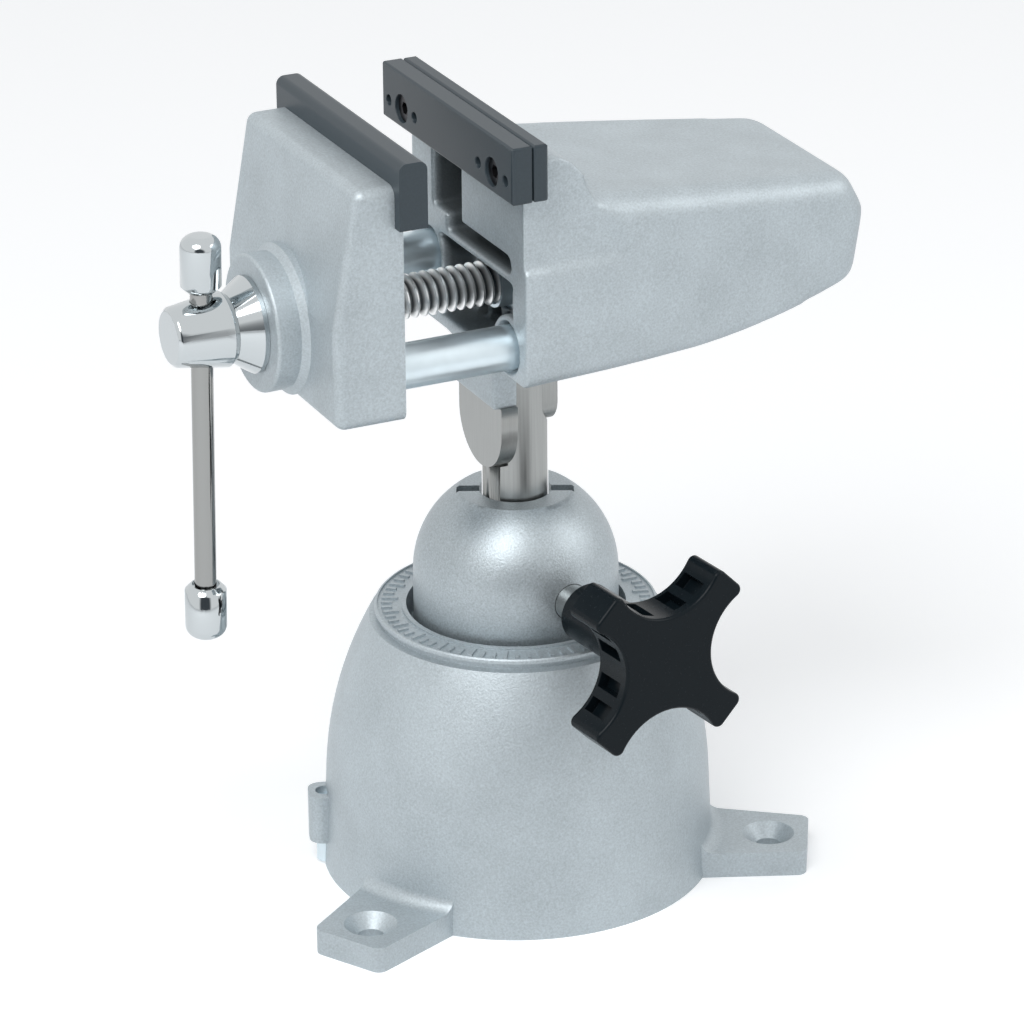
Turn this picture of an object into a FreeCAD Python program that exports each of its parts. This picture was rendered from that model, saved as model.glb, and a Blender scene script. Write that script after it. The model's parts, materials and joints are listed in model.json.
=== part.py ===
import FreeCAD, Part
import math
import os

# Every length is in millimetres.
# Frame: origin on the base's axis at its underside, Z up,
# X along the jaws' travel from the movable jaw to the fixed one.

# Clearances
RUN = 0.05
FIT = 0.02
TURN_GAP = 0.1

# Base casting
RING_BORE_R = 23.6
RING_BAND_IN = RING_BORE_R + 1.0
RING_BAND_OUT = RING_BAND_IN + 5.2
RING_R = RING_BAND_OUT + 0.6
RING_LIP = 1.0
BASE_SHOULDER_R = RING_R + 1.2
BASE_MID_R = BASE_SHOULDER_R + 7.0
BASE_KNEE_R = BASE_MID_R + 2.9
BASE_R = BASE_KNEE_R + 1.0
BASE_KNEE_Z = 22.0
BASE_MID_Z = 40.0
RING_TOP = 59.7
BASE_SHOULDER_Z = RING_TOP - 2.4
BASE_WALL = 4.5
RING_BAND_DEPTH = 0.45
PLATE_UNDER = 53.8
DISC_TOP = 47.4
DISC_R = 33.8
DISC_BORE_R = 20.0
DISC_THICK = 4.0

# Mounting ears
EAR_COUNT = 3
EAR_FIRST = -30.0
EAR_HOLE_PCD = 109.5
EAR_HOLE_R = 2.8
EAR_SINK_R = 5.65
EAR_THICK = 5.7
EAR_TIP = 8.55
EAR_END_R = EAR_HOLE_PCD / 2 + EAR_TIP
EAR_END_HALF = 8.6
EAR_ROOT_R = BASE_R - 3.5
EAR_ROOT_HALF = 11.6
EAR_CORNER_R = 2.2
EAR_BLEND_R = 3.0

# Side lug and its lock screw
LUG_AZIMUTH = 161.0
LUG_REACH = BASE_R + 3.2
LUG_WIDTH = 8.0
LUG_LOW = 6.0
LUG_HIGH = 17.0
LUG_CORNER_R = 2.8
LOCK_AT_R = LUG_REACH - 3.6
LOCK_R = 2.0
LOCK_LOW = 0.6
LOCK_HIGH = 15.6
SLOT_DEPTH = 1.0
SLOT_WIDTH = 0.8

# Screws that hold the retaining disc
DISC_SCREW_COUNT = 3
DISC_SCREW_FIRST = 30.0
DISC_SCREW_AT_R = 31.2
DISC_SCREW_R = 1.5
DISC_SCREW_TOP = 52.6
DISC_HEAD_R = 2.5
DISC_HEAD_H = 1.9

# Turret
WASHER_THICK = 1.0
FLANGE_R = 28.5
DOME_R = 22.0
PIVOT_Z = 67.5
DOME_TOP = 85.9
POST_HOLE_R = 7.75
SLOT_HALF = 7.15
SLOT_AZIMUTH = 64.7
RELIEF_WIDTH = 3.0
RELIEF_REACH = 12.5
RELIEF_DEPTH = 2.2
STUD_AZIMUTH = -83.0

# Ball, its seat and its ring nut
BALL_R = 13.5
BALL_SPLIT = 0.6
SEAT_LOW = 56.0
SEAT_HIGH = 60.0
SEAT_BORE_R = 8.5
RING_NUT_LOW = 51.0
RING_NUT_BORE_R = 9.2
SPANNER_SLOT = 2.4
SPANNER_DEPTH = 1.5

# Star knob, stud and shoe
STUD_R = 3.97
SHOE_LENGTH = 3.4
KNOB_BACK = 48.7
KNOB_FRONT = 58.8
KNOB_TIP_R = 21.8
KNOB_TIP_HALF = 4.8
KNOB_VALLEY_R = 10.5
KNOB_EDGE = 0.7
KNOB_CORNER = 1.6
KNOB_FACE = 2.2
KNOB_HUB_R = 6.4
KNOB_HUB_BACK = 27.0
KNOB_HUB_EDGE = 0.8
KNOB_STUD_END = 52.0
POCKET_WIDTH = 3.2
POCKET_DEPTH = 2.4
POCKET_TURNS = (-42.0, -18.0, 18.0, 42.0)
POCKET_BACK = 0.9

# Post with its retaining ring
POST_R = 6.9
POST_LOW = 57.5
NECK = 34.1
BODY_BOTTOM = DOME_TOP + NECK
POST_HIGH = BODY_BOTTOM + 1.5
POST_RING_Z = 60.5
POST_RING_THICK = 1.4
POST_RING_R = 8.4
POST_GROOVE_R = 6.3
POST_RING_MOUTH = 1.6

# Cheeks and cross pin
FRONT_CHEEK_X = -8.0
FRONT_CHEEK_THICK = 3.8
FRONT_CHEEK_HALF = 10.5
FRONT_CHEEK_Z = BODY_BOTTOM - 16.6
FRONT_TONGUE_HALF = 8.0
REAR_CHEEK_X = 7.4
REAR_CHEEK_THICK = 3.8
REAR_CHEEK_HALF = 5.6
REAR_CHEEK_Z = BODY_BOTTOM - 13.2
MILL_GAP = 0.5
PIN_R = 2.5
PIN_Z = BODY_BOTTOM - 2.4
PIN_REACH = 9.0

# Vise body
BODY_FRONT = -10.6
SCREW_Z = BODY_BOTTOM + 13.6
BODY_HALF = 28.5
BODY_REAR_HALF = 22.6
BODY_REAR = 72.5
BODY_REAR_Z = SCREW_Z + 10.6
BODY_WALL = 3.6
BODY_TOP_FRONT = BODY_BOTTOM + 38.6
BODY_TOP_REAR = BODY_TOP_FRONT - 6.0
BODY_TOP_REAR_X = 67.9
BODY_TOP_BREAK_X = 10.0
BODY_TOP_R = 5.5
BODY_REAR_R = 6.0
EDGE_MARGIN = 3.0
BODY_BOTTOM_R = 2.5
BODY_BELLY = (28.9, BODY_BOTTOM + 1.7)
BODY_BELLY_BEND = (52.6, BODY_BOTTOM + 5.2)
BODY_BELLY_END = (70.0, BODY_BOTTOM + 10.0)
BODY_FLANK_X = 42.0
BODY_FLANK_IN = 2.3
BODY_CAVITY_REAR = 68.5
BODY_MOUTH_REAR = 60.0
BODY_MOUTH_TOP = SCREW_Z + 4.0
BLOCK_BACK = 8.0
SHOULDER_TOP = BODY_TOP_FRONT + 10.4
SHOULDER_HALF = 27.3
SHOULDER_X = -7.0
SHOULDER_CREST_X = -2.6
SHOULDER_BEND = (1.6, SHOULDER_TOP - 2.6)
SHOULDER_BEND_END = (4.4, SHOULDER_TOP - 7.8)
SHOULDER_SLOPE = (8.6, BODY_TOP_FRONT - 4.6)
SHOULDER_FOOT = (13.0, BODY_TOP_FRONT - 10.6)
CREASE_Z = BODY_TOP_FRONT - 13.1
SADDLE_FRONT = -9.6
SADDLE_STEP = -4.0
SADDLE_REAR = 9.6
SADDLE_HALF = 10.2
SADDLE_REAR_HALF = 7.6
SADDLE_LOW = BODY_BOTTOM - 11.1
SADDLE_REAR_LOW = BODY_BOTTOM - 6.0

# Cored front face of the body
RECESS_X = -2.4
RECESS_Y = (-21.6, 14.0)
RECESS_LOW = BODY_BOTTOM + 2.6
RECESS_HIGH = SCREW_Z + 7.4
ROD_BOSS_R = 6.8
POCKET_FLOOR_X = 4.0
POCKET_HIGH = BODY_BOTTOM + 7.0
POCKETS_Y = ((-5.0, -0.6), (1.8, 6.9), (8.4, 12.6))
SLOT_X = -4.6
SLOT_Y = (-21.0, 10.0)
SLOT_Z = (BODY_TOP_FRONT - 16.1, BODY_TOP_FRONT - 11.8)
SLOT_END_R = 2.1
WINDOW_Y = (2.6, 17.0)
WINDOW_Z = (BODY_TOP_FRONT - 12.4, BODY_TOP_FRONT - 4.0)
GUTTER_Z = (BODY_TOP_FRONT - 4.6, BODY_TOP_FRONT + 1.4)

# Lead screw and guide rods
SCREW_R = 4.76
SCREW_END = 40.0
SCREW_BORE_R = 6.3
NUT_R = 8.0
NUT_FRONT = -1.0
NUT_BACK = 13.0
NUT_SLEEVE_R = 5.5
NUT_SLEEVE_FRONT = -5.2
NUT_BOSS_WALL = 3.0
NUT_BOSS_LIP = 0.8
ROD_R = 4.76
ROD_BACK = 29.5
ROD_CHANNEL_GAP = 0.5
CLOSING_TRAVEL = 18.0
CHANNEL_END_GAP = 1.0
ROD_FRONT = -51.2
ROD_CHAMFER = 0.8
ROD_MOUTH = 0.9
ROD_MOUTH_DEPTH = 1.5
NEAR_ROD = (-19.0, SCREW_Z - 7.1)
FAR_ROD = (19.0, SCREW_Z + 1.4)

# Fixed jaw plates
PLATE_HALF = 31.75
PLATE_LOW = SHOULDER_TOP - 7.1
PLATE_HIGH = PLATE_LOW + 12.1
BACKING_FRONT = -10.4
PLATE_FRONT = -15.14
PLATE_EDGE = 0.4
HOLE_Z = PLATE_LOW + 4.4
BIG_HOLE_Y = 22.0
BIG_HOLE_R = 3.0
SMALL_HOLE_Y = (15.6, 28.4)
SMALL_HOLE_R = 1.2
SMALL_HOLE_DEPTH = 2.5
JAW_SCREW_R = 1.6
JAW_SCREW_END = -2.0
JAW_HEAD_SINK = 0.8
JAW_HEAD_THICK = 2.4
HEX_ACROSS = 2.5
HEX_DEPTH = 1.3

# Movable jaw and its pad
JAW_INNER = -37.7
JAW_OUTER = -52.8
JAW_OUTER_TOP = -47.7
JAW_BREAK_Z = SCREW_Z + 6.4
JAW_TOP = SHOULDER_TOP
JAW_LOW = BODY_BOTTOM - 1.6
JAW_HALF = 28.6
JAW_EDGE = 2.4
BOSS_R = 14.4
BOSS_FACE = -59.3
BOSS_ROUND = 0.8
BOSS_FOOT = 1.4
PAD_BACK = -39.5
PAD_FRONT = -33.3
PAD_LOW = JAW_TOP - 8.7
PAD_HIGH = JAW_TOP + 5.4
PAD_HALF = 31.0
PAD_ROUND = 1.8
PAD_SCREW_END = -46.0
ROD_PIN_X = -46.0
ROD_PIN_R = 1.5
ROD_PIN_SINK = 0.6
ROD_PIN_BITE = 1.2
SCREW_END_GAP = 0.2

# Lead screw head, thrust cone and collar
HEAD_FRONT = -77.4
HEAD_BACK = -64.6
HEAD_FRONT_R = 6.3
HEAD_BACK_R = 8.0
HEAD_CHAMFER = 0.8
HEAD_BACK_EDGE = 1.2
SCREW_CHAMFER = 1.0
CONE_R = 7.2
CONE_RIM_R = 10.2
CONE_RIM = 1.0
COLLAR_R = 7.9
COLLAR_FRONT = -40.0
COLLAR_BACK = -38.0

# Handle
HANDLE_X = -70.2
HANDLE_R = 2.3
HANDLE_LENGTH = 90.4
CAP_HEIGHT = 12.0
CAP_GAP = 1.3
HANDLE_HIGH = SCREW_Z + HEAD_BACK_R + CAP_GAP + CAP_HEIGHT
HANDLE_LOW = HANDLE_HIGH - HANDLE_LENGTH
TOP_CAP_R = 4.25
LOW_CAP_R = 4.4
CAP_END = 1.6
CAP_MOUTH_EDGE = 1.2
CAP_MOUTH_R = 2.9
CAP_MOUTH_DEPTH = 0.8
CAP_DOME_SHARE = 0.62
HANDLE_LEAN = 2.6

UP = FreeCAD.Vector(0, 0, 1)
ALONG = FreeCAD.Vector(1, 0, 0)
ACROSS = FreeCAD.Vector(0, 1, 0)
ORIGIN = FreeCAD.Vector(0, 0, 0)
FAR = 200.0


def vec(x, y, z):
    return FreeCAD.Vector(x, y, z)


def box(x0, x1, y0, y1, z0, z1):
    return Part.makeBox(x1 - x0, y1 - y0, z1 - z0, vec(x0, y0, z0))


def rod(radius, start, end):
    return Part.makeCylinder(radius, (end - start).Length, start, end - start)


def tube(r_in, r_out, z0, z1):
    solid = Part.makeCylinder(r_out, z1 - z0, vec(0, 0, z0))
    return solid.cut(Part.makeCylinder(r_in, z1 - z0, vec(0, 0, z0)))


def ball(radius):
    return Part.makeSphere(radius, vec(0, 0, PIVOT_Z))


def along_x(radius, x0, x1, y, z):
    return rod(radius, vec(x0, y, z), vec(x1, y, z))


def face_of(steps, place):
    """A face from a start point, line ends and (middle, end) pairs of arcs."""
    here = place(steps[0])
    first = here
    edges = []
    for step in steps[1:]:
        if isinstance(step[0], tuple):
            there = place(step[1])
            edges.append(Part.Arc(here, place(step[0]), there).toShape())
        else:
            there = place(step)
            edges.append(Part.makeLine(here, there))
        here = there
    if (here - first).Length > 1e-6:
        edges.append(Part.makeLine(here, first))
    return Part.Face(Part.Wire(edges))


def revolved(steps):
    face = face_of(steps, lambda p: vec(p[0], 0, p[1]))
    return face.revolve(ORIGIN, UP, 360)


def turned_x(steps, y, z):
    """A solid turned about a line along X; each point is (x, radius)."""
    face = face_of(steps, lambda p: vec(p[0], y, z + p[1]))
    return face.revolve(vec(0, y, z), ALONG, 360)


def side_prism(steps, half):
    face = face_of(steps, lambda p: vec(p[0], -half, p[1]))
    return face.extrude(ACROSS * 2 * half)


def plan_prism(steps, low, high):
    face = face_of(steps, lambda p: vec(p[0], p[1], low))
    return face.extrude(UP * (high - low))


def spun(shape, degrees):
    copy = shape.copy()
    copy.rotate(ORIGIN, UP, degrees)
    return copy


def ring_of(shape, count, first):
    return [spun(shape, first + k * 360.0 / count) for k in range(count)]


def hexagon(across, x0, x1, y, z):
    radius = across / math.sqrt(3.0)
    points = []
    for k in range(7):
        turn = math.radians(60 * k)
        points.append(vec(x0, y + radius * math.cos(turn), z + radius * math.sin(turn)))
    return Part.Face(Part.makePolygon(points)).extrude(ALONG * (x1 - x0))


def rounded(shape, pick, radius):
    edges = [edge for edge in shape.Edges if pick(edge)]
    return shape.makeFillet(radius, edges)


def middle(edge):
    span = edge.ParameterRange
    return edge.valueAt((span[0] + span[1]) / 2.0)


def save(name, shape):
    solid = shape.removeSplitter() if shape.ShapeType != "Compound" else shape
    solid.exportStep("parts/%s.step" % name)
    print(name, round(solid.Volume, 1), len(solid.Solids), solid.isValid())


# Base casting

def base_outside():
    lip_foot = RING_TOP - RING_LIP
    steps = [(0, 0), (BASE_R, 0), (BASE_KNEE_R, BASE_KNEE_Z)]
    steps.append(((BASE_MID_R, BASE_MID_Z), (BASE_SHOULDER_R, BASE_SHOULDER_Z)))
    steps.append((RING_R - 0.6, BASE_SHOULDER_Z + 0.2))
    steps.append((RING_R - 0.6, lip_foot - 0.1))
    steps.append((RING_R, lip_foot))
    steps.append((RING_R, RING_TOP - 0.3))
    steps.append((RING_R - 0.3, RING_TOP))
    steps.append((0, RING_TOP))
    return revolved(steps)


def base_inside():
    recess_r = DISC_R + FIT
    disc_low = DISC_TOP - DISC_THICK
    steps = [(0, -1), (BASE_R - BASE_WALL, -1), (BASE_KNEE_R - BASE_WALL, BASE_KNEE_Z)]
    steps.append(((BASE_MID_R - 3.0, 34.0), (recess_r, disc_low)))
    steps.append((recess_r, DISC_TOP))
    steps.append((FLANGE_R + TURN_GAP, DISC_TOP))
    steps.append((FLANGE_R + TURN_GAP, PLATE_UNDER))
    steps.append((RING_BORE_R, PLATE_UNDER))
    steps.append((RING_BORE_R, RING_TOP + 1))
    steps.append((0, RING_TOP + 1))
    return revolved(steps)


def ear():
    steps = [(EAR_ROOT_R, -EAR_ROOT_HALF), (EAR_END_R, -EAR_END_HALF)]
    steps += [(EAR_END_R, EAR_END_HALF), (EAR_ROOT_R, EAR_ROOT_HALF)]
    slab = plan_prism(steps, 0, EAR_THICK)
    slab = rounded(slab, lambda e: middle(e).x > EAR_END_R - 0.01
                   and abs(abs(middle(e).y) - EAR_END_HALF) < 0.01
                   and abs(middle(e).z - EAR_THICK / 2) < 0.01, EAR_CORNER_R)
    return slab


def ear_hole():
    at = vec(EAR_HOLE_PCD / 2, 0, 0)
    hole = Part.makeCylinder(EAR_HOLE_R, EAR_THICK + 2, at - UP)
    depth = EAR_SINK_R - EAR_HOLE_R
    low = at + UP * (EAR_THICK - depth)
    sink = Part.makeCone(EAR_HOLE_R, EAR_SINK_R + 0.5, depth + 0.5, low)
    return hole.fuse(sink)


def side_lug():
    half = LUG_WIDTH / 2
    lug = box(EAR_ROOT_R, LUG_REACH, -half, half, LUG_LOW, LUG_HIGH)
    lug = rounded(lug, lambda e: middle(e).x > LUG_REACH - 0.01
                  and abs(middle(e).z - (LUG_LOW + LUG_HIGH) / 2) < 0.01, LUG_CORNER_R)
    return spun(lug, LUG_AZIMUTH)


def blend_ears(casting):
    def at_root(edge):
        p = middle(edge)
        reach = math.hypot(p.x, p.y)
        on_top = abs(p.z - EAR_THICK) < 0.05
        return on_top and BASE_KNEE_R < reach < BASE_R + 0.6
    return rounded(casting, at_root, EAR_BLEND_R)


def base_casting():
    casting = base_outside().fuse(ring_of(ear(), EAR_COUNT, EAR_FIRST))
    casting = blend_ears(casting)
    casting = casting.fuse(side_lug()).cut(base_inside())
    casting = casting.cut(ring_of(ear_hole(), EAR_COUNT, EAR_FIRST))
    band = tube(RING_BAND_IN, RING_BAND_OUT, RING_TOP - RING_BAND_DEPTH, RING_TOP + 1)
    casting = casting.cut(band)
    lock_bore = Part.makeCylinder(LOCK_R + RUN, LUG_HIGH + 1, vec(LOCK_AT_R, 0, -0.5))
    casting = casting.cut(spun(lock_bore, LUG_AZIMUTH))
    screw_bore = Part.makeCylinder(DISC_SCREW_R + FIT, DISC_SCREW_TOP - DISC_TOP + 0.2,
                                   vec(DISC_SCREW_AT_R, 0, DISC_TOP))
    return casting.cut(ring_of(screw_bore, DISC_SCREW_COUNT, DISC_SCREW_FIRST))


def retaining_disc():
    low = DISC_TOP - DISC_THICK
    disc = tube(DISC_BORE_R, DISC_R, low, DISC_TOP)
    hole = Part.makeCylinder(DISC_SCREW_R + FIT, DISC_THICK, vec(DISC_SCREW_AT_R, 0, low))
    sink = Part.makeCylinder(DISC_HEAD_R + RUN, DISC_HEAD_H, vec(DISC_SCREW_AT_R, 0, low))
    cuts = ring_of(hole.fuse(sink), DISC_SCREW_COUNT, DISC_SCREW_FIRST)
    return disc.cut(cuts)


def disc_screws():
    low = DISC_TOP - DISC_THICK
    shank = Part.makeCylinder(DISC_SCREW_R, DISC_SCREW_TOP - low, vec(DISC_SCREW_AT_R, 0, low))
    head = Part.makeCylinder(DISC_HEAD_R, DISC_HEAD_H, vec(DISC_SCREW_AT_R, 0, low))
    screw = shank.fuse(head)
    half = SLOT_WIDTH / 2
    slot = box(DISC_SCREW_AT_R - 4, DISC_SCREW_AT_R + 4, -half, half, low - 1, low + SLOT_DEPTH)
    return Part.makeCompound(ring_of(screw.cut(slot), DISC_SCREW_COUNT, DISC_SCREW_FIRST))


def friction_washer():
    return tube(DISC_BORE_R + 0.5, FLANGE_R, DISC_TOP, DISC_TOP + WASHER_THICK - FIT)


def lock_screw():
    screw = Part.makeCylinder(LOCK_R, LOCK_HIGH - LOCK_LOW, vec(LOCK_AT_R, 0, LOCK_LOW))
    half = SLOT_WIDTH / 2
    slot = box(LOCK_AT_R - 3, LOCK_AT_R + 3, -half, half, LOCK_HIGH - SLOT_DEPTH, LOCK_HIGH + 1)
    return spun(screw.cut(slot), LUG_AZIMUTH)


# Turret

def turret_outside():
    flange_low = DISC_TOP + WASHER_THICK
    flange_top = PLATE_UNDER - RUN
    rise = DOME_TOP - PIVOT_Z
    flat_r = math.sqrt(DOME_R ** 2 - rise ** 2)
    bend = math.radians(45)
    mid = (DOME_R * math.cos(bend), PIVOT_Z + DOME_R * math.sin(bend))
    steps = [(0, flange_low), (FLANGE_R, flange_low), (FLANGE_R, flange_top)]
    steps += [(DOME_R, flange_top), (DOME_R, PIVOT_Z), (mid, (flat_r, DOME_TOP))]
    steps.append((0, DOME_TOP))
    return revolved(steps)


def tilt_slot():
    """The post's hole and its path down the far side of the dome."""
    hole = Part.makeCylinder(POST_HOLE_R, FAR, vec(0, 0, PIVOT_Z))
    lane = box(0, FAR, -SLOT_HALF, SLOT_HALF, PIVOT_Z, PIVOT_Z + FAR)
    end = along_x(SLOT_HALF, 0, FAR, 0, PIVOT_Z)
    return hole.fuse([spun(s, SLOT_AZIMUTH) for s in (lane, end)])


def stud_bore():
    bore = along_x(STUD_R + RUN, 0, FAR, 0, PIVOT_Z)
    return spun(bore, STUD_AZIMUTH)


def turret_dome():
    dome = turret_outside()
    socket = BALL_R + RUN
    dome = dome.cut(ball(socket))
    dome = dome.cut(Part.makeCylinder(socket, PIVOT_Z - DISC_TOP, vec(0, 0, DISC_TOP)))
    dome = dome.cut([tilt_slot(), stud_bore()])
    relief = box(-RELIEF_REACH, RELIEF_REACH, -RELIEF_WIDTH / 2, RELIEF_WIDTH / 2,
                 DOME_TOP - RELIEF_DEPTH, DOME_TOP + 1)
    return dome.cut(spun(relief, SLOT_AZIMUTH + 90))


def ball_seat():
    seat = tube(SEAT_BORE_R, BALL_R + RUN - FIT, SEAT_LOW, SEAT_HIGH)
    return seat.cut(ball(BALL_R + RUN))


def ring_nut():
    outer = BALL_R + RUN - FIT
    nut = tube(RING_NUT_BORE_R, outer, RING_NUT_LOW, SEAT_LOW)
    half = SPANNER_SLOT / 2
    slot = box(-outer - 1, outer + 1, -half, half,
               RING_NUT_LOW - 1, RING_NUT_LOW + SPANNER_DEPTH)
    return nut.cut(slot)


def clamp_shoe():
    shoe = along_x(STUD_R, BALL_R - 1.5, BALL_R + SHOE_LENGTH, 0, PIVOT_Z)
    return spun(shoe.cut(ball(BALL_R + RUN)), STUD_AZIMUTH)


# Star knob and stud

def star_face():
    """Four flat-ended arms joined by round valleys, in the plane of the knob's back."""
    tip = KNOB_TIP_R
    half = KNOB_TIP_HALF
    steps = []
    for k in range(5):
        arm = math.radians(45 + 90 * k)
        cos, sin = math.cos(arm), math.sin(arm)
        first = (tip * cos + half * sin, tip * sin - half * cos)
        last = (tip * cos - half * sin, tip * sin + half * cos)
        between = arm - math.radians(45)
        low = (KNOB_VALLEY_R * math.cos(between), KNOB_VALLEY_R * math.sin(between))
        if k:
            steps.append((low, first))
        if k < 4:
            steps.append(last if k else first)
        if k == 0:
            steps.append(last)
    return face_of(steps, lambda p: vec(KNOB_BACK, p[0], PIVOT_Z + p[1]))


def knob_pockets():
    """Narrow hollows in the wall of each valley, behind the front plate."""
    centre = valley_centre()
    reach = centre - KNOB_VALLEY_R + POCKET_DEPTH
    half = POCKET_WIDTH / 2
    cuts = []
    for k in range(4):
        for turn in POCKET_TURNS:
            pocket = box(KNOB_BACK + POCKET_BACK, KNOB_FRONT - KNOB_FACE,
                         -reach, -reach + POCKET_DEPTH + 3, -half, half)
            pocket.rotate(ORIGIN, ALONG, turn)
            pocket.translate(vec(0, centre, PIVOT_Z))
            pocket.rotate(vec(0, 0, PIVOT_Z), ALONG, 90 * k)
            cuts.append(pocket)
    return cuts


def valley_centre():
    """Distance from the knob's axis to the centre of a valley's arc."""
    turn = math.radians(45)
    y = KNOB_TIP_R * math.cos(turn) + KNOB_TIP_HALF * math.sin(turn)
    z = KNOB_TIP_R * math.sin(turn) - KNOB_TIP_HALF * math.cos(turn)
    return (y * y + z * z - KNOB_VALLEY_R ** 2) / (2 * (y - KNOB_VALLEY_R))


def knob_star():
    star = star_face().extrude(ALONG * (KNOB_FRONT - KNOB_BACK))
    upright = [e for e in star.Edges if abs(middle(e).x - (KNOB_BACK + KNOB_FRONT) / 2) < 0.01]
    star = star.makeFillet(KNOB_CORNER, upright)
    star = rounded(star, lambda e: middle(e).x > KNOB_FRONT - 0.01, KNOB_EDGE)
    star = star.cut(knob_pockets())
    star = star.fuse(knob_hub())
    star = star.cut(along_x(STUD_R + FIT, KNOB_HUB_BACK - 1, KNOB_STUD_END, 0, PIVOT_Z))
    return spun(star, STUD_AZIMUTH)


def knob_hub():
    """The round hub, which passes over the base's ring."""
    edge = KNOB_HUB_EDGE
    steps = [(KNOB_HUB_BACK, 0), (KNOB_HUB_BACK, KNOB_HUB_R - edge),
             (KNOB_HUB_BACK + edge, KNOB_HUB_R), (KNOB_BACK + 1, KNOB_HUB_R),
             (KNOB_BACK + 1, 0)]
    return turned_x(steps, 0, PIVOT_Z)


def knob_stud():
    stud = along_x(STUD_R, BALL_R + SHOE_LENGTH + FIT, KNOB_STUD_END, 0, PIVOT_Z)
    return spun(stud, STUD_AZIMUTH)


# Ball and post

def ball_half(side):
    body = ball(BALL_R)
    body = body.cut(Part.makeCylinder(POST_R + RUN, FAR, vec(0, 0, 0)))
    groove = Part.makeCylinder(POST_RING_R + RUN, POST_RING_THICK + 2 * RUN,
                               vec(0, 0, POST_RING_Z - RUN))
    body = body.cut(groove)
    gap = BALL_SPLIT / 2
    keep = box(gap, FAR, -FAR, FAR, 0, FAR)
    half = body.common(keep)
    return spun(half, SLOT_AZIMUTH + 90 * side)


def cheek_mill(x0, x1, half, z):
    grown = half + MILL_GAP
    end = along_x(grown, x0, x1, 0, z)
    return end.fuse(box(x0, x1, -grown, grown, z, POST_HIGH + 1))


def post():
    bar = Part.makeCylinder(POST_R, POST_HIGH - POST_LOW, vec(0, 0, POST_LOW))
    groove = tube(POST_GROOVE_R, POST_R + 1, POST_RING_Z, POST_RING_Z + POST_RING_THICK)
    bar = bar.cut(groove)
    front = FRONT_CHEEK_X + FRONT_CHEEK_THICK
    rear = REAR_CHEEK_X - REAR_CHEEK_THICK
    bar = bar.cut(cheek_mill(-POST_R - 1, front, FRONT_CHEEK_HALF, FRONT_CHEEK_Z))
    bar = bar.cut(cheek_mill(rear, POST_R + 1, REAR_CHEEK_HALF, REAR_CHEEK_Z))
    return bar.cut(along_x(PIN_R + FIT, -POST_R, POST_R, 0, PIN_Z))


def post_retaining_ring():
    ring = tube(POST_GROOVE_R, POST_RING_R, POST_RING_Z, POST_RING_Z + POST_RING_THICK)
    half = POST_RING_MOUTH
    return ring.cut(box(0, POST_RING_R + 1, -half, half, 0, FAR))


def front_cheek():
    x0 = FRONT_CHEEK_X
    x1 = x0 + FRONT_CHEEK_THICK
    cheek = along_x(FRONT_CHEEK_HALF, x0, x1, 0, FRONT_CHEEK_Z)
    low = FRONT_CHEEK_Z + FRONT_CHEEK_HALF
    cheek = cheek.fuse(box(x0, x1, -FRONT_CHEEK_HALF, FRONT_CHEEK_HALF, FRONT_CHEEK_Z, low))
    cheek = cheek.cut(box(x0 - 1, x1 + 1, -FAR, FAR, SADDLE_LOW, FAR))
    tongue = box(x0, x1, -FRONT_TONGUE_HALF, FRONT_TONGUE_HALF, FRONT_CHEEK_Z, POST_HIGH)
    cheek = cheek.fuse(tongue)
    return cheek.cut(along_x(PIN_R + FIT, x0 - 1, x1 + 1, 0, PIN_Z))


def rear_cheek():
    x1 = REAR_CHEEK_X
    x0 = x1 - REAR_CHEEK_THICK
    cheek = along_x(REAR_CHEEK_HALF, x0, x1, 0, REAR_CHEEK_Z)
    straight = box(x0, x1, -REAR_CHEEK_HALF, REAR_CHEEK_HALF, REAR_CHEEK_Z, POST_HIGH)
    cheek = cheek.fuse(straight)
    return cheek.cut(along_x(PIN_R + FIT, x0 - 1, x1 + 1, 0, PIN_Z))


def cross_pin():
    return along_x(PIN_R, -PIN_REACH, PIN_REACH, 0, PIN_Z)


# Vise body

def body_side():
    return [(BODY_FRONT, BODY_BOTTOM), BODY_BELLY, (BODY_BELLY_BEND, BODY_BELLY_END),
            (BODY_REAR, BODY_REAR_Z), (BODY_TOP_REAR_X, BODY_TOP_REAR),
            (BODY_TOP_BREAK_X, BODY_TOP_FRONT), (BODY_FRONT, BODY_TOP_FRONT)]


def body_plan(half, rear_half, front, rear):
    flank = half - BODY_FLANK_IN
    start = BODY_TOP_BREAK_X
    return [(front, -half), (start, -half), ((BODY_FLANK_X, -flank), (rear, -rear_half)),
            (rear, rear_half), ((BODY_FLANK_X, flank), (start, half)), (front, half)]


def body_outside():
    side = side_prism(body_side(), 2 * BODY_HALF)
    plan = plan_prism(body_plan(BODY_HALF, BODY_REAR_HALF, BODY_FRONT, BODY_REAR + 1), 0, FAR)
    solid = side.common(plan)
    return body_rounding(solid)


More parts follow.
